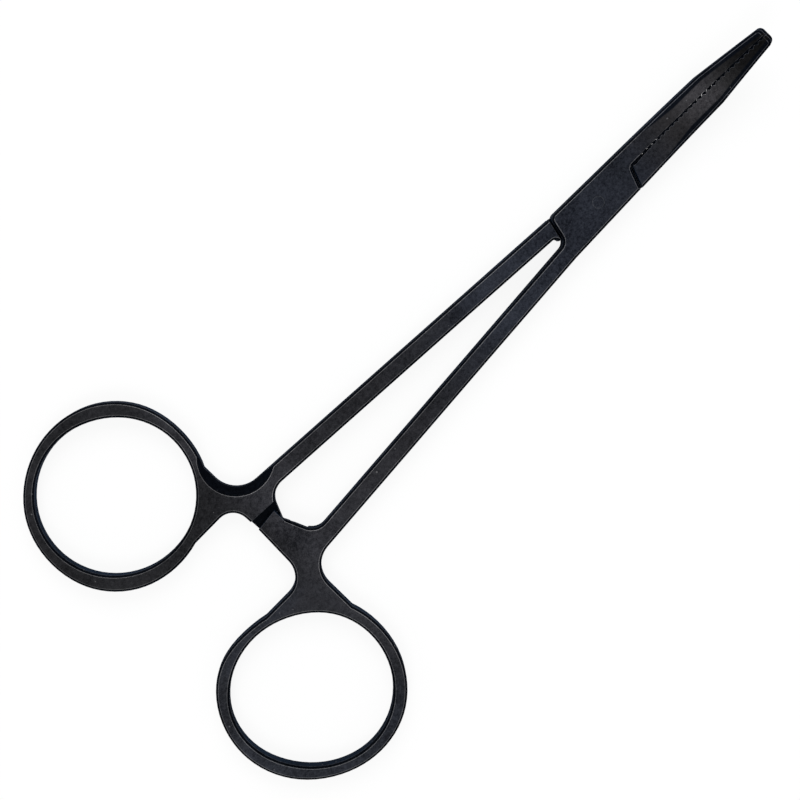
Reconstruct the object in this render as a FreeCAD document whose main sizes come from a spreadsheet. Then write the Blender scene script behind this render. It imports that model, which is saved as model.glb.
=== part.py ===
"""Curved haemostatic forceps with a box lock, finger rings and a ratchet.

Millimetres. The pin axis is the Z axis, +X runs along the closed instrument to the jaw tips,
+Y is the side of the tenon half's finger ring, and the jaws curve up, towards +Z. The box lock's
underside lies on z = 0. Each half is one forging: a plan outline, trimmed to a side profile that
curves up along the jaws, with its long edges chamfered before the lock, ratchet and teeth are cut.
"""
import FreeCAD, Part
import math
import os
import re
import Sketcher
from FreeCAD import Vector

SIZES = {
    # finger rings: height and centres
    "ring_thick": 3.8, "tenon_ring_x": -87.8, "tenon_ring_y": 22.2, "box_ring_x": -88.1, "box_ring_y": 22.3,
    # neck between ring and shank, on the outer side, and heel between ring and ratchet
    "tenon_neck_x": -74.55, "box_neck_x": -73.75, "tenon_neck_fillet": 4.8, "box_neck_fillet": 4.4,
    "hollow_width": 1.5, "hollow_floor": 0.3,
    "tenon_heel_y": 7.75, "box_heel_y": 8.65, "tenon_heel_fillet": 3.0, "box_heel_fillet": 3.8,
    # shanks: half widths of the closed pair at the ratchet and at the box, and the stretch that thickens
    "shank_x": -67.8, "tenon_shank_outer": 7.86, "box_shank_outer": 7.68,
    "tenon_shank_inner": 4.88, "box_shank_inner": 4.68, "taper_length": 18,
    "crotch_x": -8.8, "crotch_inner": 0.82, "tenon_crotch_fillet": 0.75, "box_crotch_fillet": 1.6,
    # ratchet lugs: a lower shelf on the tenon half, an upper plate on the box half
    "tenon_lug_back": -75.3, "box_lug_back": -75.5, "lug_back_slant": 0.4, "tenon_lug_width": 3.2,
    "box_lug_width": 3.9, "lug_flare": 2.4, "tenon_lug_fillet": 3.4, "box_lug_fillet": 2.7,
    "shelf_end": 1.5, "plate_end": 2.0, "lug_step": 3.7, "lug_gap": 0.12, "lug_end_slant": 0.4,
    "ratchet_pitch": 1.1, "ratchet_depth": 0.45, "ratchet_count": 3,
    # box lock
    "box_outer": 3.76, "box_thick": 4.6, "box_corner_fillet": 1.2,
    "proximal_edge": 7.87, "proximal_turn": 167, "distal_edge": 7.08, "distal_turn": -20.8,
    "shoulder_gap": 0.38, "tenon_half_width": 1.9, "tenon_slant": 13, "stop_turn": 52,
    "slot_height": 1.6, "slot_clearance": 0.06, "pin_diameter": 1.9, "pin_clearance": 0.03,
    # jaws
    "jaw_bend_x": 25, "jaw_bend_y": 3.0, "jaw_tip_x": 37.3, "jaw_tip_y": 1.46,
    "nose_fillet": 0.9, "seam_base": 0.35, "seam_tip": 0.05, "seam_gap": 0.07, "relief": 0.42,
    "relief_x": 13.5, "root_fillet": 0.8,
    "jaw_start_x": 10, "jaw_radius": 52, "tip_turn": 31, "tip_thick": 2.1,
    # serrations across the grip faces
    "tooth_pitch": 1.05, "tooth_depth": 0.42, "tooth_count": 28, "tooth_land": 0.08,
    "tooth_crest_cut": 0.14,
    # chamfers
    "edge_softening": 0.4,
}

# Each finger ring's inner and outer outline is a closed spline. These are its control points' distances
# from the ring's centre, 30 degrees apart, from +X towards the half's own side.
RING_OUTLINES = {
    "tenon_hole": (13.66, 13.44, 13.17, 13.44, 13.5, 13.5, 13.4, 13.3, 13.22, 13.26, 13.56, 13.69),
    "tenon_rim": (15.4, 15.95, 15.95, 15.56, 15.29, 15.47, 15.5, 16.02, 16.06, 15.65, 15.55, 15.75),
    "box_hole": (13.74, 13.74, 13.75, 13.39, 12.84, 12.8, 13.68, 14.18, 13.6, 13.15, 12.89, 13.52),
    "box_rim": (15.8, 16.15, 16.1, 15.42, 14.9, 15.3, 15.87, 16.15, 16.3, 14.55, 14.85, 16.0),
}
for outline_name, reaches in RING_OUTLINES.items():
    SIZES.update({f"{outline_name}_{turn * 30}": reach for turn, reach in enumerate(reaches)})


def make_sheet(doc):
    """Fill the spreadsheet with the driving dimensions, one aliased plain number a row."""
    sheet = doc.addObject("Spreadsheet::Sheet", "Sizes")
    for row, (name, value) in enumerate(SIZES.items(), start=1):
        sheet.set(f"A{row}", name)
        sheet.set(f"B{row}", str(value))
        sheet.setAlias(f"B{row}", name)
    doc.recompute()
    return sheet


def bound(text):
    """Return an expression in which each size's plain name points at its cell."""
    return re.sub(r"[a-z_][a-z_0-9]*",
                  lambda word: f"Sizes.{word.group()}" if word.group() in SIZES else word.group(), text)


def bind(thing, **expressions):
    for prop, text in expressions.items():
        thing.setExpression(prop, bound(text))


def value(thing, text):
    """The number that an expression of sizes has now."""
    return float(thing.evalExpression(bound(text)))


def new_sketch(body, name, role, height=None):
    """Sketch on one of the body's planes, lifted off it to a height if one is given."""
    sketch = body.newObject("Sketcher::SketchObject", name)
    plane = next(plane for plane in body.Origin.OriginFeatures if plane.Role == role)
    sketch.AttachmentSupport = [(plane, "")]
    sketch.MapMode = "FlatFace"
    if height:
        sketch.setExpression("AttachmentOffset.Base.z", bound(height))
    return sketch


def pin_point(sketch, geo, pos, x_text, y_text):
    """Hold a sketch point at two expressions, measured from the sketch's origin."""
    for kind, text in (("DistanceX", x_text), ("DistanceY", y_text)):
        index = sketch.addConstraint(Sketcher.Constraint(kind, -1, 1, geo, pos, value(sketch, text)))
        sketch.setExpression(f"Constraints[{index}]", bound(text))


def outline(sketch, corners, arcs=()):
    """Closed outline through corners given as pairs of expressions.

    A side named in arcs leaves its first corner along +X and bends up to the next corner.
    """
    spots = [Vector(value(sketch, x), value(sketch, y), 0) for x, y in corners]
    count = len(spots)
    for i, spot in enumerate(spots):
        reach = spots[(i + 1) % count] - spot
        if i in arcs:
            radius = (reach.x ** 2 + reach.y ** 2) / (2 * reach.y)
            centre = spot + Vector(0, radius, 0)
            circle = Part.Circle(centre, Vector(0, 0, 1), radius)
            side = Part.ArcOfCircle(circle, -math.pi / 2, math.atan2(reach.y - radius, reach.x))
        else:
            side = Part.LineSegment(spot, spot + reach)
        sketch.addGeometry(side, False)
    for i in range(count):
        sketch.addConstraint(Sketcher.Constraint("Coincident", i, 2, (i + 1) % count, 1))
    for i, (x_text, y_text) in enumerate(corners):
        pin_point(sketch, i, 1, x_text, y_text)
    for i in arcs:
        index = sketch.addConstraint(Sketcher.Constraint("DistanceX", -1, 1, i, 3, spots[i].x))
        sketch.setExpression(f"Constraints[{index}]", bound(corners[i][0]))
    return sketch


def line_at(x, x0, y0, x1, y1):
    """Height at x of the straight line through two points, as an expression."""
    return f"({y0} + ({x} - ({x0})) * ({y1} - ({y0})) / ({x1} - ({x0})))"


def mirrored(corners, side):
    """The corners with their y turned to the half's own side, +1 or -1."""
    return [(x, f"{side} * ({y})") for x, y in corners]


def outer_shank(half, x):
    return line_at(x, "shank_x", f"{half}_shank_outer", "crotch_x", "box_outer")


def inner_shank(half, x):
    return line_at(x, "shank_x", f"{half}_shank_inner", "crotch_x", "crotch_inner")


def lug_front(half):
    return f"{half}_lug_back + {half}_lug_width"


def box_side(x):
    return line_at(x, "crotch_x", "box_outer", "jaw_bend_x", "jaw_bend_y")


def jaw_side(x):
    return line_at(x, "jaw_bend_x", "jaw_bend_y", "jaw_tip_x", "jaw_tip_y")


def seam(x):
    return line_at(x, "distal_edge", "seam_base", "jaw_tip_x", "seam_tip")


def edge_line(distance, turn, y):
    """x at height y of the line that lies a distance from the pin, its normal turned from +X."""
    return f"(({distance}) - sin({turn}) * ({y})) / cos({turn})"


def tenon_side(x, sign, wide="tenon_half_width"):
    """y of the tenon's side edge, a line at half its width from the pin."""
    return f"({sign} * ({wide}) - sin(tenon_slant) * ({x})) / cos(tenon_slant)"


# Height of each half's tooth crests over the seam line: the teeth interlock with a gap, and the
# tenon half's crests are cut lower, which leaves the row of small notches along the seam.
TENON_CRESTS = "(tooth_depth / 2 - seam_gap / 2 - tooth_crest_cut)"
BOX_CRESTS = "(seam_gap / 2 - tooth_depth / 2 + tooth_land * tooth_depth / tooth_pitch)"


def ring_corners(half):
    """From the ring's centre round the neck to the shank's outer side."""
    neck = f"{half}_neck_x"
    middle = (f"{half}_ring_x", f"{half}_ring_y")
    return [middle, (neck, middle[1]), (neck, outer_shank(half, neck))]


def lug_corners(half, end):
    """From the shank's inner side round the ratchet lug and its heel, back into the ring."""
    back, heel = f"{half}_lug_back", f"{half}_heel_y"
    return [
        (lug_front(half) + " + lug_flare", inner_shank(half, lug_front(half) + " + lug_flare")),
        (lug_front(half), f"-({end} + lug_end_slant) * 0.4"),
        (lug_front(half), f"-{end} - lug_end_slant"),
        (back, f"-{end}"),
        (f"{back} - lug_back_slant", heel),
        (f"{half}_ring_x + 3", heel),
    ]


def tenon_half_corners():
    start = edge_line("proximal_edge + shoulder_gap", "proximal_turn", "box_outer") + " + 0.15"
    end = edge_line("distal_edge + shoulder_gap", "distal_turn", "-jaw_bend_y") + " - 0.3"
    face = f"(seam_base + {TENON_CRESTS} - relief)"
    root = f"(tenon_half_width - cos(tenon_slant) * {face}) / sin(tenon_slant)"
    beyond = "jaw_tip_x + 3"
    return ring_corners("tenon") + [
        (start, tenon_side(start, 1)),
        (root, face),
        ("relief_x", f"{seam('relief_x')} + {TENON_CRESTS}"),
        (beyond, f"{seam(beyond)} + {TENON_CRESTS}"),
        (beyond, f"-{jaw_side(beyond)}"),
        ("jaw_bend_x", "-jaw_bend_y"),
        (end, tenon_side(end, -1)),
        ("crotch_x", tenon_side("crotch_x", -1)),
        ("crotch_x", "crotch_inner"),
    ] + lug_corners("tenon", "shelf_end")


def box_half_corners():
    """The box half's outline, its ring's side turned to +y as the tenon half's is."""
    low = box_side("distal_edge")
    face = f"(seam_base + {BOX_CRESTS})"
    high = box_side("-proximal_edge")
    beyond = "jaw_tip_x + 3"
    return ring_corners("box") + [
        ("crotch_x", "box_outer"),
        (edge_line("distal_edge", "distal_turn", f"-{low}"), low),
        (edge_line("distal_edge", "distal_turn", face), f"-{face}"),
        (beyond, f"-({seam(beyond)} + {BOX_CRESTS})"),
        (beyond, f"-{jaw_side(beyond)}"),
        ("jaw_bend_x", "-jaw_bend_y"),
        (edge_line("proximal_edge", "proximal_turn", high), f"-{high}"),
        (edge_line("proximal_edge", "proximal_turn", "-crotch_inner"), "crotch_inner"),
    ] + lug_corners("box", "plate_end")


def pad(body, name, sketch, length):
    feature = body.newObject("PartDesign::Pad", name)
    feature.Profile = sketch
    feature.SideType = "Symmetric"
    bind(feature, Length=length)
    return feature


def pocket(body, name, sketch, length, way="through"):
    """Cut a sketch right through, or from its own plane up or down."""
    feature = body.newObject("PartDesign::Pocket", name)
    feature.Profile = sketch
    feature.SideType = "Symmetric" if way == "through" else "One side"
    feature.Reversed = way == "up"
    bind(feature, Length=length)
    return feature


def ring_outline(body, name, outline_name, half, side):
    """Sketch of one closed spline of the finger ring, each control point held at its distance."""
    sketch = new_sketch(body, name, "XY_Plane")
    count = len(RING_OUTLINES[outline_name])
    middle = (f"{half}_ring_x", f"{half}_ring_y")
    poles = []
    for turn in range(0, 360, 360 // count):
        reach = f"{outline_name}_{turn}"
        poles.append((f"{middle[0]} + {reach} * cos({turn})",
                      f"{side} * ({middle[1]} + {reach} * sin({turn}))"))
    curve = Part.BSplineCurve()
    curve.buildFromPolesMultsKnots([Vector(value(sketch, x), value(sketch, y), 0) for x, y in poles],
                                   [1] * (count + 1), list(range(count + 1)), True, 3)
    sketch.exposeInternalGeometry(sketch.addGeometry(curve, False))
    handles = [i for i, item in enumerate(sketch.Geometry) if isinstance(item, Part.Circle)]
    for handle, (x, y) in zip(handles, poles):
        pin_point(sketch, handle, 3, x, y)
    return sketch


def disc(sketch, diameter):
    sketch.addGeometry(Part.Circle(Vector(0, 0, 0), Vector(0, 0, 1), value(sketch, diameter) / 2), False)
    sketch.addConstraint(Sketcher.Constraint("Coincident", 0, 3, -1, 1))
    index = sketch.addConstraint(Sketcher.Constraint("Diameter", 0, value(sketch, diameter)))
    sketch.setExpression(f"Constraints[{index}]", bound(diameter))
    return sketch


def upright_edges(shape, spot):
    """Names of the upright edges that pass through a point of the plan."""
    names = []
    for i, edge in enumerate(shape.Edges, start=1):
        a, b = edge.Vertexes[0].Point, edge.Vertexes[-1].Point
        if len(edge.Vertexes) == 2 and abs(a.x - b.x) < 1e-4 and abs(a.y - b.y) < 1e-4:
            if abs(a.x - spot[0]) < 1e-3 and abs(a.y - spot[1]) < 1e-3:
                names.append(f"Edge{i}")
    return names


def nose_edges(shape):
    """Name of the jaw tip's end edge on the back side, which runs the thickness of the tip."""
    names = []
    for i, edge in enumerate(shape.Edges, start=1):
        a, b = edge.Vertexes[0].Point, edge.Vertexes[-1].Point
        if min(a.x, b.x) > SIZES["jaw_tip_x"] - 2.5 and abs(a.z - b.z) > 0.5:
            if min(abs(a.y), abs(b.y)) > SIZES["jaw_tip_y"] / 2:
                names.append(f"Edge{i}")
    return names


def long_edges(shape, stays_sharp):
    """Names of the edges between the half's upper or lower faces and its sides.

    stays_sharp says, from a point and the side's normal there, which edges are left out.
    """
    names = []
    for i, edge in enumerate(shape.Edges, start=1):
        faces = shape.ancestorsOfType(edge, Part.Face)
        if len(faces) != 2:
            continue
        middle = edge.valueAt((edge.FirstParameter + edge.LastParameter) / 2)
        normals = [face.normalAt(*face.Surface.parameter(middle)) for face in faces]
        level, upright = sorted(normals, key=lambda n: -abs(n.z))
        if abs(level.z) > 0.75 and abs(upright.z) < 0.3 and not stays_sharp(middle, upright):
            names.append(f"Edge{i}")
    return names


def tenon_stays_sharp(spot, way):
    """The tenon half's grip face, its tenon, the end of its ratchet lug and its tip."""
    grip = spot.x > 7 and spot.y > -0.6 and way.y > 0.9
    tenon = -8.3 < spot.x < 7 and abs(way.x) < 0.3
    lug = spot.x < SIZES["shank_x"] and spot.y < 0
    return grip or tenon or lug or spot.x > SIZES["jaw_tip_x"] - 2.2


def box_stays_sharp(spot, way):
    """The box half's grip face, the end of its ratchet lug and its tip."""
    grip = spot.x > 7 and spot.y < 0.6 and way.y < -0.9
    lug = spot.x < SIZES["shank_x"] and spot.y > 0.5
    return grip or lug or spot.x > SIZES["jaw_tip_x"] - 2.2


def fillet(body, name, edges, radius):
    base = body.Tip
    feature = body.newObject("PartDesign::Fillet", name)
    feature.Base = (base, edges)
    bind(feature, Radius=radius)
    body.Document.recompute()
    return feature


def soften(body, name, edges, size):
    """Narrow chamfer along the edges."""
    base = body.Tip
    feature = body.newObject("PartDesign::Chamfer", name)
    feature.Base = (base, edges)
    bind(feature, Size=size)
    body.Document.recompute()
    return feature


def profile(body, name, side):
    """Trim sketch in the side view: above the half (side +1) or below it (side -1).

    The ring and most of the shank lie level, the shank's last stretch thickens to the box, and the
    jaw's face is one arc that leaves the box level and ends at the tip, square to the jaw's own curve.
    """
    tip_x = "(jaw_start_x + jaw_radius * sin(tip_turn))"
    tip_z = "(jaw_radius * (1 - cos(tip_turn)))"
    top = (f"{tip_x} - tip_thick / 2 * sin(tip_turn)", f"{tip_z} + tip_thick / 2 * cos(tip_turn)")
    bottom = (f"{tip_x} + tip_thick / 2 * sin(tip_turn)", f"{tip_z} - tip_thick / 2 * cos(tip_turn)")
    tip = [top, bottom] if side > 0 else [bottom]
    low, high = f"{side} * ring_thick / 2", f"{side} * box_thick / 2"
    level = [("tenon_ring_x - 30", low), ("crotch_x - 5 - taper_length", low),
             ("crotch_x - 5", high), ("jaw_start_x", high)]
    far = [("jaw_tip_x + 20", tip[-1][1]), ("jaw_tip_x + 20", f"{side} * 30"),
           ("tenon_ring_x - 30", f"{side} * 30")]
    return outline(new_sketch(body, name, "XZ_Plane"), level + tip + far, arcs=(len(level) - 1,))


def forging(doc, half, side, corners, fillets, stays_sharp):
    """One half before its lock and teeth: plan outline, ring, side profile, rounded edges."""
    body = doc.addObject("PartDesign::Body", f"{half}_half")
    bind(body, **{"Placement.Base.z": "box_thick / 2"})
    plan = outline(new_sketch(body, f"{half}_plan", "XY_Plane"), mirrored(corners, side))
    pad(body, f"{half}_blank", plan, "60")
    pad(body, f"{half}_ring", ring_outline(body, f"{half}_rim_plan", f"{half}_rim", half, side), "60")
    doc.recompute()
    spots = [(g.StartPoint.x, g.StartPoint.y) for g in plan.Geometry]
    for name, (corner, radius) in fillets.items():
        fillet(body, f"{half}_{name}", upright_edges(body.Tip.Shape, spots[corner]), radius)
    pocket(body, f"{half}_top", profile(body, f"{half}_top_line", 1), "200")
    pocket(body, f"{half}_underside", profile(body, f"{half}_underside_line", -1), "200")
    pocket(body, f"{half}_bow", ring_outline(body, f"{half}_hole_plan", f"{half}_hole", half, side), "100")
    doc.recompute()
    fillet(body, f"{half}_nose", nose_edges(body.Tip.Shape), "nose_fillet")
    soften(body, f"{half}_rim", long_edges(body.Tip.Shape, stays_sharp), "edge_softening")
    return body


def hollow_neck(body, half, side):
    """Cone-shaped hollow round the neck's outer side, in the upper face only."""
    cone = body.newObject("PartDesign::SubtractiveCone", f"{half}_neck_hollow")
    middle = f"{half}_neck_x + {half}_neck_fillet"
    slope = "hollow_width / (ring_thick / 2 - hollow_floor)"
    bind(cone, Radius1=f"{half}_neck_fillet - 0.2 * {slope}",
         Radius2=f"{half}_neck_fillet + hollow_width + 0.5 * {slope}",
         Height="ring_thick / 2 - hollow_floor + 0.7")
    bind(cone, **{"Placement.Base.x": middle,
                  "Placement.Base.y": f"{side} * ({outer_shank(half, middle)} + {half}_neck_fillet)",
                  "Placement.Base.z": "hollow_floor - 0.2"})
    return cone


def cut_lug(body, half, side):
    """Leave the lower shelf (side +1) or the upper plate (side -1) of the ratchet lug."""
    corners = [(f"{half}_lug_back - 3", "-6"), (lug_front(half) + " + 2.5", "-6"),
               (lug_front(half) + " + 2.5", "lug_step - 0.25"), (f"{half}_lug_back - 3", "lug_step + 0.25")]
    sketch = new_sketch(body, f"{half}_lug_plan", "XY_Plane", f"{-side} * lug_gap / 2")
    pocket(body, f"{half}_lug", outline(sketch, mirrored(corners, side)), "ring_thick",
           "up" if side > 0 else "down")


def cut_ratchet(body, half, side):
    """Saw notches across the lug's facing side, spaced a pitch apart along y."""
    sketch = body.newObject("Sketcher::SketchObject", f"{half}_notch_line")
    plane = next(plane for plane in body.Origin.OriginFeatures if plane.Role == "YZ_Plane")
    sketch.AttachmentSupport = [(plane, "")]
    sketch.MapMode = "FlatFace"
    bind(sketch, **{"AttachmentOffset.Base.z": f"{half}_lug_back + {half}_lug_width / 2"})
    first = f"-{'shelf_end' if side > 0 else 'plate_end'} + 0.35"
    low = f"{-side} * (lug_gap / 2 + ratchet_depth)"
    over = f"{side} * 0.04"
    corners = [(f"{side} * ({first})", over), (f"{side} * ({first} + ratchet_pitch * 0.12)", low),
               (f"{side} * ({first} + ratchet_pitch * 0.85)", over)]
    outline(sketch, corners)
    cut = pocket(body, f"{half}_notch", sketch, "8")
    body.Document.recompute()
    pattern = body.newObject("PartDesign::LinearPattern", f"{half}_ratchet")
    pattern.Originals = [cut]
    pattern.Direction = (sketch, ["H_Axis"])
    pattern.Reversed = side < 0
    pattern.Mode = "Spacing"
    bind(pattern, Offset="ratchet_pitch", Occurrences="ratchet_count")
    body.Tip = pattern


def cut_teeth(body, half, side, first, crests):
    """Cross serrations along the curved grip face.

    One groove is drawn over the jaw's centre of curvature, square to the grip face, cut down
    through the jaw and then turned about that centre, so that each groove crosses the jaw squarely.
    """
    slope = "(seam_tip - seam_base) / (jaw_tip_x - distal_edge)"
    sketch = new_sketch(body, f"{half}_groove_line", "XY_Plane", "jaw_radius")
    sketch.AttachmentOffset = FreeCAD.Placement(Vector(), FreeCAD.Rotation(Vector(0, 0, 1), -1))
    bind(sketch, **{"AttachmentOffset.Base.x": "jaw_start_x", "AttachmentOffset.Base.z": "jaw_radius",
                    "AttachmentOffset.Base.y": seam("jaw_start_x"),
                    "AttachmentOffset.Rotation.Angle": f"atan({slope})"})
    body.Document.recompute()
    apex = f"{-side} * (tooth_depth + seam_gap) / 2"
    mouth = f"{crests} + {side} * 0.1"
    half_wide = f"((tooth_depth + seam_gap) / 2 + {side} * ({mouth})) * tooth_pitch / tooth_depth / 2"
    middle = f"{first} * tooth_pitch"
    outline(sketch, [(f"{middle} - {half_wide}", mouth), (middle, apex), (f"{middle} + {half_wide}", mouth)])
    cut = pocket(body, f"{half}_groove", sketch, "jaw_radius + box_thick", "down")
    body.Document.recompute()
    pattern = body.newObject("PartDesign::PolarPattern", f"{half}_serrations")
    pattern.Originals = [cut]
    pattern.Axis = (sketch, ["V_Axis"])
    pattern.Reversed = True
    pattern.Mode = "Spacing"
    bind(pattern, Offset="tooth_pitch / jaw_radius * 180 / pi", Occurrences="tooth_count")
    body.Tip = pattern
    return pattern


doc = FreeCAD.newDocument("forceps")
make_sheet(doc)
tenon = forging(doc, "tenon", 1, tenon_half_corners(), {
    "neck": (2, "tenon_neck_fillet"), "lug_corner": (12, "tenon_lug_fillet"),
    "heel": (16, "tenon_heel_fillet"), "crotch": (11, "tenon_crotch_fillet"),
}, tenon_stays_sharp)
box = forging(doc, "box", -1, box_half_corners(), {
    "neck": (2, "box_neck_fillet"), "lug_corner": (11, "box_lug_fillet"),
    "heel": (15, "box_heel_fillet"), "crotch": (10, "box_crotch_fillet"),
    "jaw_root": (5, "root_fillet"), "box_corner": (9, "box_corner_fillet"),
}, box_stays_sharp)
hollow_neck(tenon, "tenon", 1)
for body, half, side in ((tenon, "tenon", 1), (box, "box", -1)):
    cut_lug(body, half, side)
    cut_ratchet(body, half, side)

reach = "2.5 * box_outer"
space = [
    (edge_line("proximal_edge + shoulder_gap", "proximal_turn", f"-{reach}"), f"-{reach}"),
    (edge_line("distal_edge + shoulder_gap", "distal_turn", f"-{reach}"), f"-{reach}"),
    (edge_line("distal_edge + shoulder_gap", "distal_turn", reach), reach),
    (edge_line("proximal_edge + shoulder_gap", "proximal_turn", reach), reach),
]
tenon_face = "(slot_height / 2 - slot_clearance)"
upper = outline(new_sketch(tenon, "upper_cheek_space", "XY_Plane", tenon_face), space)
pocket(tenon, "tenon_upper_face", upper, "box_thick", "up")
lower = outline(new_sketch(tenon, "lower_cheek_space", "XY_Plane", f"-{tenon_face}"), space)
pocket(tenon, "tenon_lower_face", lower, "box_thick", "down")
pocket(tenon, "tenon_bore", disc(new_sketch(tenon, "tenon_bore_plan", "XY_Plane"),
                                 "pin_diameter + 2 * pin_clearance"), "4 * box_thick")

wide = "tenon_half_width + slot_clearance"
corner_turn = "(90 - tenon_slant - stop_turn / 2)"
corner = (f"({wide}) / cos(stop_turn / 2) * cos{corner_turn}",
          f"({wide}) / cos(stop_turn / 2) * sin{corner_turn}")
swing = "(tenon_slant + stop_turn)"
half_slot = [
    corner,
    ("jaw_start_x - 0.5", tenon_side("jaw_start_x - 0.5", 1, wide)),
    ("jaw_start_x - 0.5", "-10"),
    (f"-{corner[0]} + 8 * cos{swing}", f"-{corner[1]} - 8 * sin{swing}"),
]
slot = half_slot + [(f"-({x})", f"-({y})") for x, y in half_slot]
pocket(box, "slot", outline(new_sketch(box, "slot_plan", "XY_Plane"), slot), "slot_height")
pocket(box, "box_bore", disc(new_sketch(box, "box_bore_plan", "XY_Plane"), "pin_diameter"),
       "4 * box_thick")
doc.recompute()
cut_teeth(tenon, "tenon", 1, "0", TENON_CRESTS)
cut_teeth(box, "box", -1, "0.5", BOX_CRESTS)

pin = doc.addObject("PartDesign::Body", "lock_pin")
bind(pin, **{"Placement.Base.z": "box_thick / 2"})
pad(pin, "pin_shaft", disc(new_sketch(pin, "pin_plan", "XY_Plane"), "pin_diameter"), "box_thick")
doc.recompute()

wrong = [item.Name for item in doc.Objects if {"Invalid", "Error"} & set(item.State)]
if wrong:
    raise RuntimeError(f"features that failed: {wrong}")
os.makedirs("parts", exist_ok=True)
for body, name in ((tenon, "tenon_half"), (box, "box_half"), (pin, "lock_pin")):
    if not body.Shape.isValid() or len(body.Shape.Solids) != 1:
        raise RuntimeError(f"{name} isn't one valid solid")
    body.Shape.exportStep(f"parts/{name}.step")
    print(name, body.Shape.BoundBox)
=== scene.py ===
"""Curved haemostatic forceps in black coated steel, lying closed, seen from nearly straight above.

Lengths and places are in metres. A pair named after a place or a lean is where its mask starts and
where it is full.
"""
import math

import bpy
import numpy as np
from mathutils import Matrix, Vector


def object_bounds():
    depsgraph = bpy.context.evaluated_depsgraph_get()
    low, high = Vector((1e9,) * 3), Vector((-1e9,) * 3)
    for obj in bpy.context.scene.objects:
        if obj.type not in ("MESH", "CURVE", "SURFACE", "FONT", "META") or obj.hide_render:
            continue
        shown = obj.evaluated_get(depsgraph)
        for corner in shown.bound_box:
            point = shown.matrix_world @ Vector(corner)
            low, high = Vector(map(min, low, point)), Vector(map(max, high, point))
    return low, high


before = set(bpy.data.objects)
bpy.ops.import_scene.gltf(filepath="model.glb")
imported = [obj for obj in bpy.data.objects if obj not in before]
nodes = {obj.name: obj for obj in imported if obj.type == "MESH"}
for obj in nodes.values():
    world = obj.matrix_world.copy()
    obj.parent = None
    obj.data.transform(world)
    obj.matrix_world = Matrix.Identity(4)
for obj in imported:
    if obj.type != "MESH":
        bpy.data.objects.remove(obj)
cad_low, cad_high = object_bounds()
scene = bpy.context.scene
scene.view_settings.view_transform = "Standard"

# Noise in the coat, in cycles per metre: specks of 0.2 mm, blotches of 0.5 mm, clouds of 9 mm, drifts of
# 17 mm and pale points. The pale points and the drifts are the peaks of their noise.
SPECK_SCALE, BLOTCH_SCALE, CLOUD_SCALE, DRIFT_SCALE, PALE_POINT_SCALE = 6000, 2000, 110, 60, 1700
PALE_POINT_PEAKS, DRIFT_PEAKS = (0.83, 0.88), (0.5, 0.65)
# Lean of a face: the upright part of its normal, 1 on a level face and 0 on an upright one.
SLOPE_LEAN, WALL_LEAN = (0.84, 0.76), (0.55, 0.25)
# Heights under and over the level faces of the ratchet's shelf, which take painted shade.
SHELF_LOW_Z, SHELF_HIGH_Z = (0.0008, 0.0010), (0.0036, 0.0034)
# Brown tinge of the blue-black coat: full on the jaws, less on the rings and in the drifts.
JAW_BROWN_X = (0.008, 0.016)
RING_BROWN_X, RING_BROWN = (-0.025, -0.045), 0.75
DRIFT_BROWN = 0.6
# Outer part of the box half's ring, which stays blue and is lighter than the other ring.
BLUE_RING_X, BLUE_RING_Y = (-0.074, -0.082), (0.0, -0.015)
BLUE_RING_LIGHTER = 1.6
# Tone of the coat along X: rings, lugs, shanks, box, then the jaws to their tips.
# On the jaws the peak is a painted highlight, the dark tips painted shade, the last stop a painted
# highlight on their ends.
TONE_AND_HIGHLIGHT_ALONG_X = ((-0.103, 0.24), (-0.0765, 0.26), (-0.072, 0.62), (-0.063, 0.42), (-0.040, 0.32),
             (-0.014, 0.46), (-0.002, 0.43), (0.006, 0.34), (0.0175, 0.28), (0.0238, 0.85),
             (0.0275, 0.22), (0.031, 0.07), (0.0355, 0.05), (0.0371, 0.16))
TONE_AND_HIGHLIGHT_SCALE = 2.4
# Side line of the box and the jaws in plan.
CROTCH_X, BOX_SIDE_Y = -0.0088, 0.00376
JAW_BEND_X, JAW_BEND_Y = 0.025, 0.0030
JAW_TIP_X, JAW_TIP_Y = 0.0373, 0.00146
# A band of painted shade inside that line, where the backs of the jaws are dressed round: it starts,
# widens and fades.
RIM_START_X = (0.011, 0.013)
RIM_WIDENS_X, RIM_WIDTH = (0.011, 0.019), 0.00095
RIM_FADE = (0.00012, -0.00006)
# Tone of a point: shares of grain and clouding, the range of their sum over which the colours run, and
# the factors on the painted shade of slopes and walls at its ends.
GRAIN_SHARE, CLOUD_SHARE = 0.7, 0.5
TONE_RANGE = (0.46, 0.74)
STEEP_TONES = (0.4, 1.6)
PALE_POINT_COLOUR = (0.08, 0.08, 0.085)
# Roughness and flecks of gloss over the middle range of the grain, and the gloss over a range of the tone
# along X.
GRAIN_RANGE = (0.3, 0.7)
STEEL_ROUGHNESS = (0.55, 0.75)
GLOSS_FLECKS = (0.5, 1.5)
TONE_AND_HIGHLIGHT_RANGE, TONE_AND_HIGHLIGHT_GLOSS = (0.15, 0.55), (0.3, 1.0)
COAT_ROUGHNESS = 0.40
GRAIN_BUMP, GRAIN_DEPTH = 0.5, 0.00004
# Bevelled edges, whose faces take a painted highlight, and smooth shading, with angles in degrees.
WELD_REACH = 1e-7
EDGE_HIGHLIGHT_SLOT, EDGE_BEVEL_WIDTH, EDGE_BEVEL_ANGLE = 1, 0.00005, 30
SMOOTH_ANGLE = 18
# Floor and sky.
FLOOR_REACH, FLOOR_DROP = 3.0, 0.00002
FLOOR_WHITE, FLOOR_GLOW = 0.95, 0.88
SKY_STRENGTH = 0.60


# Shader helpers

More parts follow.
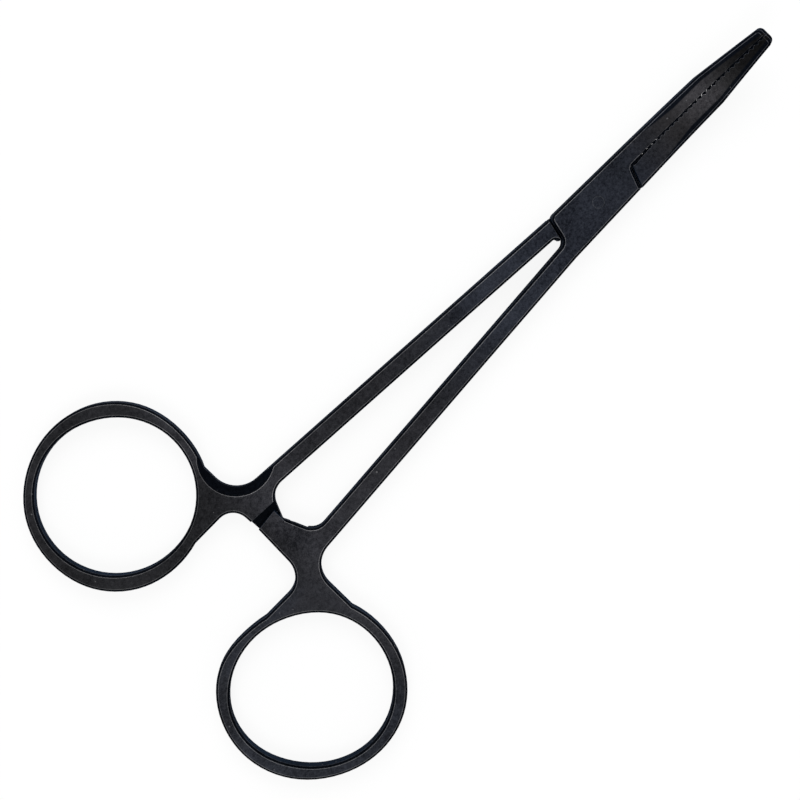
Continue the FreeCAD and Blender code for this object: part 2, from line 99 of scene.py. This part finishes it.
def add(tree, kind, sockets=None, **settings):
    """A new node with its settings. Each named or numbered socket is linked or holds a plain value."""
    node = tree.nodes.new(kind)
    for key, value in settings.items():
        setattr(node, key, value)
    for label, value in (sockets or {}).items():
        if isinstance(value, bpy.types.NodeSocket):
            tree.links.new(value, node.inputs[label])
        else:
            node.inputs[label].default_value = value
    return node


def math_node(tree, operation, *values, clamp=False):
    """Output of a Math node on sockets or numbers."""
    node = add(tree, "ShaderNodeMath", dict(enumerate(values)), operation=operation, use_clamp=clamp)
    return node.outputs["Value"]


def noise(tree, place, scale, detail):
    """Noise from 0 to 1 at that scale in cycles per metre."""
    sockets = {"Vector": place, "Scale": scale, "Detail": detail}
    return add(tree, "ShaderNodeTexNoise", sockets).outputs["Fac"]


def map_range(tree, value, low, high, to_low=0.0, to_high=1.0):
    """Value carried from one range to another, held at its ends."""
    sockets = {"Value": value, "From Min": low, "From Max": high, "To Min": to_low, "To Max": to_high}
    return add(tree, "ShaderNodeMapRange", sockets).outputs["Result"]


def ramp(tree, value, stops):
    """Colour of a ramp whose stops are (position, colour) pairs."""
    node = add(tree, "ShaderNodeValToRGB", {"Fac": value})
    while len(node.color_ramp.elements) < len(stops):
        node.color_ramp.elements.new(0.5)
    for element, (position, colour) in zip(node.color_ramp.elements, stops):
        element.position = position
        element.color = (*colour, 1)
    return node.outputs["Color"]


def mix_colour(tree, factor, first, second):
    """Mix of two colours, each a socket or a written colour."""
    node = add(tree, "ShaderNodeMix", {"Factor": factor}, data_type="RGBA")
    for label, colour in (("A", first), ("B", second)):
        socket = next(s for s in node.inputs if s.name == label and s.type == "RGBA")
        if isinstance(colour, tuple):
            socket.default_value = (*colour, 1)
        else:
            tree.links.new(colour, socket)
    return next(s for s in node.outputs if s.type == "RGBA")


def scale_colour(tree, colour, factor):
    """A colour made lighter or darker by a factor."""
    sockets = {"Vector": colour, "Scale": factor}
    return add(tree, "ShaderNodeVectorMath", sockets, operation="SCALE").outputs["Vector"]


def empty_material(name):
    """A new material and its node tree, with no nodes in it."""
    material = bpy.data.materials.new(name)
    material.use_nodes = True
    material.node_tree.nodes.clear()
    return material, material.node_tree


# Masks of the satin coat

def grain_masks(tree, place):
    """Grain is half specks and half blotches, Clouding a slow change and the last mask a few bright
    points.
    """
    specks = math_node(tree, "MULTIPLY", noise(tree, place, SPECK_SCALE, 2), 0.5)
    blotches = math_node(tree, "MULTIPLY", noise(tree, place, BLOTCH_SCALE, 3), 0.5)
    return {
        "Grain": math_node(tree, "ADD", specks, blotches),
        "Clouding": noise(tree, place, CLOUD_SCALE, 3),
        "Pale_points": map_range(tree, noise(tree, place, PALE_POINT_SCALE, 0), *PALE_POINT_PEAKS),
    }


def lean_masks(tree, normal):
    """Slope is 1 on chamfers, hollows and walls and 0 on level faces, Wall is 1 only on upright faces."""
    axes = add(tree, "ShaderNodeSeparateXYZ", {"Vector": normal})
    level = math_node(tree, "ABSOLUTE", axes.outputs["Z"])
    return {"Slope": map_range(tree, level, *SLOPE_LEAN), "Wall": map_range(tree, level, *WALL_LEAN)}


def recess_shade_mask(tree, z):
    """1 between two heights, for painted shade on the ratchet's shelf, low between the halves, and faces
    out of sight.
    """
    above = map_range(tree, z, *SHELF_LOW_Z)
    below = map_range(tree, z, *SHELF_HIGH_Z)
    return math_node(tree, "MULTIPLY", above, below)


def blue_ring_mask(tree, x, y):
    """1 on the outer part of the box half's ring."""
    return math_node(tree, "MULTIPLY", map_range(tree, y, *BLUE_RING_Y), map_range(tree, x, *BLUE_RING_X))


def warmth_mask(tree, place, x, blue_ring):
    """From 0 on the blue-black box to 1 on the brown-black jaws, with less on the rings and in drifts."""
    jaws = map_range(tree, x, *JAW_BROWN_X)
    rings = map_range(tree, x, *RING_BROWN_X, 0.0, RING_BROWN)
    rings = math_node(tree, "SUBTRACT", rings, blue_ring, clamp=True)
    drifts = map_range(tree, noise(tree, place, DRIFT_SCALE, 1), *DRIFT_PEAKS, 0.0, DRIFT_BROWN)
    return math_node(tree, "MAXIMUM", jaws, math_node(tree, "MAXIMUM", rings, drifts))


def tone_and_highlight_mask(tree, x, blue_ring):
    """Tone along X: lighter on the lugs, a painted highlight mid-jaw and painted shade on the black tips.
    """
    rear, front = cad_low[0], cad_high[0]
    stops = [((place - rear) / (front - rear), (tone,) * 3) for place, tone in TONE_AND_HIGHLIGHT_ALONG_X]
    tone_along = ramp(tree, map_range(tree, x, rear, front), stops)
    lighter = map_range(tree, blue_ring, 0, 1, TONE_AND_HIGHLIGHT_SCALE, BLUE_RING_LIGHTER * TONE_AND_HIGHLIGHT_SCALE)
    return math_node(tree, "MULTIPLY", tone_along, lighter)


def rim_shade_mask(tree, x, y):
    """1 in a band of painted shade inside the jaws' side line, which is straight to the bend and again to
    the tip.
    """
    straight = map_range(tree, x, CROTCH_X, JAW_BEND_X, BOX_SIDE_Y, JAW_BEND_Y)
    taper = map_range(tree, x, JAW_BEND_X, JAW_TIP_X, JAW_BEND_Y, JAW_TIP_Y)
    side_line = math_node(tree, "MINIMUM", straight, taper)
    inside = math_node(tree, "SUBTRACT", side_line, math_node(tree, "ABSOLUTE", y))
    band = map_range(tree, x, *RIM_WIDENS_X, 0.0, RIM_WIDTH)
    rim = map_range(tree, math_node(tree, "SUBTRACT", inside, band), *RIM_FADE)
    return math_node(tree, "MULTIPLY", rim, map_range(tree, x, *RIM_START_X))


def satin_coat_group():
    """Group of the masks of a thin black coat over fine blasted grain, for both materials.

    It reads the place and the normal of a point, and each function above says what its masks are.
    """
    tree = bpy.data.node_groups.new("satin_coat", "ShaderNodeTree")
    for label in ("Place", "Normal"):
        tree.interface.new_socket(label, in_out="INPUT", socket_type="NodeSocketVector")
    point = tree.nodes.new("NodeGroupInput").outputs
    place = point["Place"]
    axes = add(tree, "ShaderNodeSeparateXYZ", {"Vector": place}).outputs
    blue_ring = blue_ring_mask(tree, axes["X"], axes["Y"])
    masks = {
        **grain_masks(tree, place),
        **lean_masks(tree, point["Normal"]),
        "Recess_shade": recess_shade_mask(tree, axes["Z"]),
        "Warmth": warmth_mask(tree, place, axes["X"], blue_ring),
        "Tone_and_highlight": tone_and_highlight_mask(tree, axes["X"], blue_ring),
        "Rim_shade": rim_shade_mask(tree, axes["X"], axes["Y"]),
    }
    for label in masks:
        tree.interface.new_socket(label, in_out="OUTPUT", socket_type="NodeSocketFloat")
    add(tree, "NodeGroupOutput", masks)
    return tree


satin_coat = satin_coat_group()


# Materials of the steel

def coated_steel(name, blue_tones, brown_tones, slope_shade, wall_shade, gloss, shaded_gloss):
    """Black coat on steel: tone by grain and clouding, with painted shade deeper on slopes and bluer on
    the walls, and deep too in the ratchet's recess and a band along the jaws.

    The gloss is a thin clear coat whose weight follows the grain. It is weak on slopes and walls, in
    the ratchet's recess and in the band of painted shade on the jaws.
    """
    material, tree = empty_material(name)
    texture = add(tree, "ShaderNodeTexCoord").outputs
    point = {"Place": texture["Object"], "Normal": texture["Normal"]}
    mask = add(tree, "ShaderNodeGroup", point, node_tree=satin_coat).outputs
    grain = mask["Grain"]
    tone = math_node(tree, "ADD", math_node(tree, "MULTIPLY", grain, GRAIN_SHARE),
                     math_node(tree, "MULTIPLY", mask["Clouding"], CLOUD_SHARE))
    # Where painted shade goes: slopes and walls, the ratchet's recess and a band along the jaws.
    painted_shade = math_node(tree, "MAXIMUM", mask["Slope"], mask["Recess_shade"])
    painted_shade = math_node(tree, "MAXIMUM", painted_shade, mask["Rim_shade"])

    blue, brown = (ramp(tree, tone, list(zip(TONE_RANGE, tones))) for tones in (blue_tones, brown_tones))
    # The tone along X, with its painted highlight and painted shade on the jaws, scales the colour of
    # level faces.
    level = scale_colour(tree, mix_colour(tree, mask["Warmth"], blue, brown), mask["Tone_and_highlight"])
    # Painted shade: darker on slopes and blue-black on walls.
    steep_shade = scale_colour(tree, mix_colour(tree, mask["Wall"], slope_shade, wall_shade),
                         map_range(tree, tone, *TONE_RANGE, *STEEP_TONES))
    colour = mix_colour(tree, painted_shade, level, steep_shade)
    colour = mix_colour(tree, mask["Pale_points"], colour, PALE_POINT_COLOUR)

    sheen = map_range(tree, painted_shade, 0, 1, gloss, shaded_gloss)
    sheen = math_node(tree, "MULTIPLY", sheen, map_range(tree, mask["Tone_and_highlight"], *TONE_AND_HIGHLIGHT_RANGE, *TONE_AND_HIGHLIGHT_GLOSS))
    sheen = math_node(tree, "MULTIPLY", sheen, map_range(tree, grain, *GRAIN_RANGE, *GLOSS_FLECKS))
    bump = add(tree, "ShaderNodeBump", {"Strength": GRAIN_BUMP, "Distance": GRAIN_DEPTH, "Height": grain})
    shader = add(tree, "ShaderNodeBsdfPrincipled", {
        "Base Color": colour,
        "Roughness": map_range(tree, grain, *GRAIN_RANGE, *STEEL_ROUGHNESS),
        "Specular IOR Level": 0.0,
        "Coat Weight": sheen,
        "Coat Roughness": COAT_ROUGHNESS,
        "Normal": bump.outputs["Normal"],
    })
    add(tree, "ShaderNodeOutputMaterial", {"Surface": shader.outputs["BSDF"]})
    return material


black_coat = coated_steel(
    "black_coated_steel",
    blue_tones=((0.0020, 0.0030, 0.0062), (0.0230, 0.0268, 0.0385)),
    brown_tones=((0.003, 0.003, 0.004), (0.026, 0.025, 0.028)),
    # Painted shade: darker on slopes, blue-black on walls.
    slope_shade=(0.0020, 0.0028, 0.0050),
    wall_shade=(0.0060, 0.0128, 0.0255),
    gloss=0.18,
    shaded_gloss=0.03,
)
# A lighter coat for the bevel faces: a painted highlight along the edges and glints on the ratchet.
edge_highlight_coat = coated_steel(
    "painted_edge_highlight",
    blue_tones=((0.060, 0.063, 0.070), (0.150, 0.152, 0.162)),
    brown_tones=((0.060, 0.060, 0.064), (0.150, 0.147, 0.152)),
    slope_shade=(0.050, 0.053, 0.062),
    wall_shade=(0.022, 0.029, 0.042),
    gloss=0.36,
    shaded_gloss=0.15,
)


def dress(node):
    """Black coat on a node, and the lighter coat of the painted edge highlight in the slot of its edges.
    """
    node.data.materials.clear()
    node.data.materials.append(black_coat)
    node.data.materials.append(edge_highlight_coat)


def soften(node):
    """Join the loose triangles, round the sharp edges a little and shade the curved faces smooth."""
    weld = node.modifiers.new("weld", "WELD")
    weld.merge_threshold = WELD_REACH
    node.data.polygons.foreach_set("use_smooth", np.ones(len(node.data.polygons), bool))
    bevel = node.modifiers.new("highlighted_edges", "BEVEL")
    bevel.limit_method = "ANGLE"
    bevel.angle_limit = math.radians(EDGE_BEVEL_ANGLE)
    bevel.width = EDGE_BEVEL_WIDTH
    bevel.segments = 1
    # The bevel faces take the coat of the painted edge highlight.
    bevel.material = EDGE_HIGHLIGHT_SLOT
    bevel.use_clamp_overlap = False
    split = node.modifiers.new("sharp", "EDGE_SPLIT")
    split.split_angle = math.radians(SMOOTH_ANGLE)


for node in nodes.values():
    dress(node)
    soften(node)


# Floor, light and camera

def floor_white():
    """White that mostly glows where it is seen directly, in a reflection or through a clear piece.

    The matt part of it keeps a faint shadow of the object. Other rays find it matt white.
    """
    material, tree = empty_material("floor_white")
    ray = add(tree, "ShaderNodeLightPath").outputs
    seen = math_node(tree, "MAXIMUM", ray["Is Camera Ray"], ray["Is Glossy Ray"])
    seen = math_node(tree, "MAXIMUM", seen, ray["Is Transmission Ray"])
    matt = add(tree, "ShaderNodeBsdfDiffuse", {"Color": (FLOOR_WHITE, FLOOR_WHITE, FLOOR_WHITE, 1)})
    glow = add(tree, "ShaderNodeEmission", {"Color": (1, 1, 1, 1), "Strength": 1.0})
    mix = add(tree, "ShaderNodeMixShader", {
        "Fac": math_node(tree, "MULTIPLY", seen, FLOOR_GLOW),
        1: matt.outputs["BSDF"],
        2: glow.outputs["Emission"],
    })
    add(tree, "ShaderNodeOutputMaterial", {"Surface": mix.outputs["Shader"]})
    return material


def floor():
    """A wide square just under the object."""
    mesh = bpy.data.meshes.new("floor")
    corners = [(x * FLOOR_REACH, y * FLOOR_REACH, 0) for x, y in ((-1, -1), (1, -1), (1, 1), (-1, 1))]
    mesh.from_pydata(corners, [], [(0, 1, 2, 3)])
    mesh.materials.append(floor_white())
    obj = bpy.data.objects.new("floor", mesh)
    obj.location.z = -FLOOR_DROP
    scene.collection.objects.link(obj)


def studio_sky():
    """Even white light from all round."""
    world = bpy.data.worlds.new("studio")
    world.use_nodes = True
    sky = world.node_tree.nodes["Background"]
    sky.inputs["Color"].default_value = (1, 1, 1, 1)
    sky.inputs["Strength"].default_value = SKY_STRENGTH
    scene.world = world


def softbox(name, spot, aim, size, power):
    """A rectangular lamp at a spot, facing its aim. Its size is in metres and its power in watts."""
    light = bpy.data.lights.new(name, "AREA")
    light.shape = "RECTANGLE"
    light.size, light.size_y = size
    light.energy = power
    obj = bpy.data.objects.new(name, light)
    obj.location = spot
    obj.rotation_euler = (Vector(aim) - Vector(spot)).to_track_quat("-Z", "Y").to_euler()
    scene.collection.objects.link(obj)


def photo_camera(spot, aim, roll, lens, shift):
    """Camera over the work, its axis through a point of the floor.

    The top of its picture points roll degrees from +Y towards +X. Lens and sensor are in millimetres.
    """
    data = bpy.data.cameras.new("camera")
    data.sensor_width = 36
    data.lens = lens
    data.shift_x, data.shift_y = shift
    data.clip_start, data.clip_end = 0.01, 20
    spot, aim = Vector(spot), Vector((*aim, 0))
    back = (spot - aim).normalized()
    turn = math.radians(roll)
    right = Vector((math.sin(turn), math.cos(turn), 0)).cross(back).normalized()
    obj = bpy.data.objects.new("camera", data)
    obj.matrix_world = Matrix((right, back.cross(right), back)).transposed().to_4x4()
    obj.location = spot
    scene.collection.objects.link(obj)
    scene.camera = obj


floor()
studio_sky()
softbox("softbox_key", spot=(-0.30, -0.12, 0.50), aim=(0, 0, 0), size=(0.20, 0.24), power=0.8)
softbox("softbox_fill", spot=(0.25, 0.38, 0.60), aim=(-0.03, 0, 0), size=(0.45, 0.45), power=2.7)
photo_camera(spot=(-0.0375, 0.024, 0.35), aim=(-0.042864, 0.012069), roll=45.5625, lens=97.3686,
             shift=(0.055, -0.075))
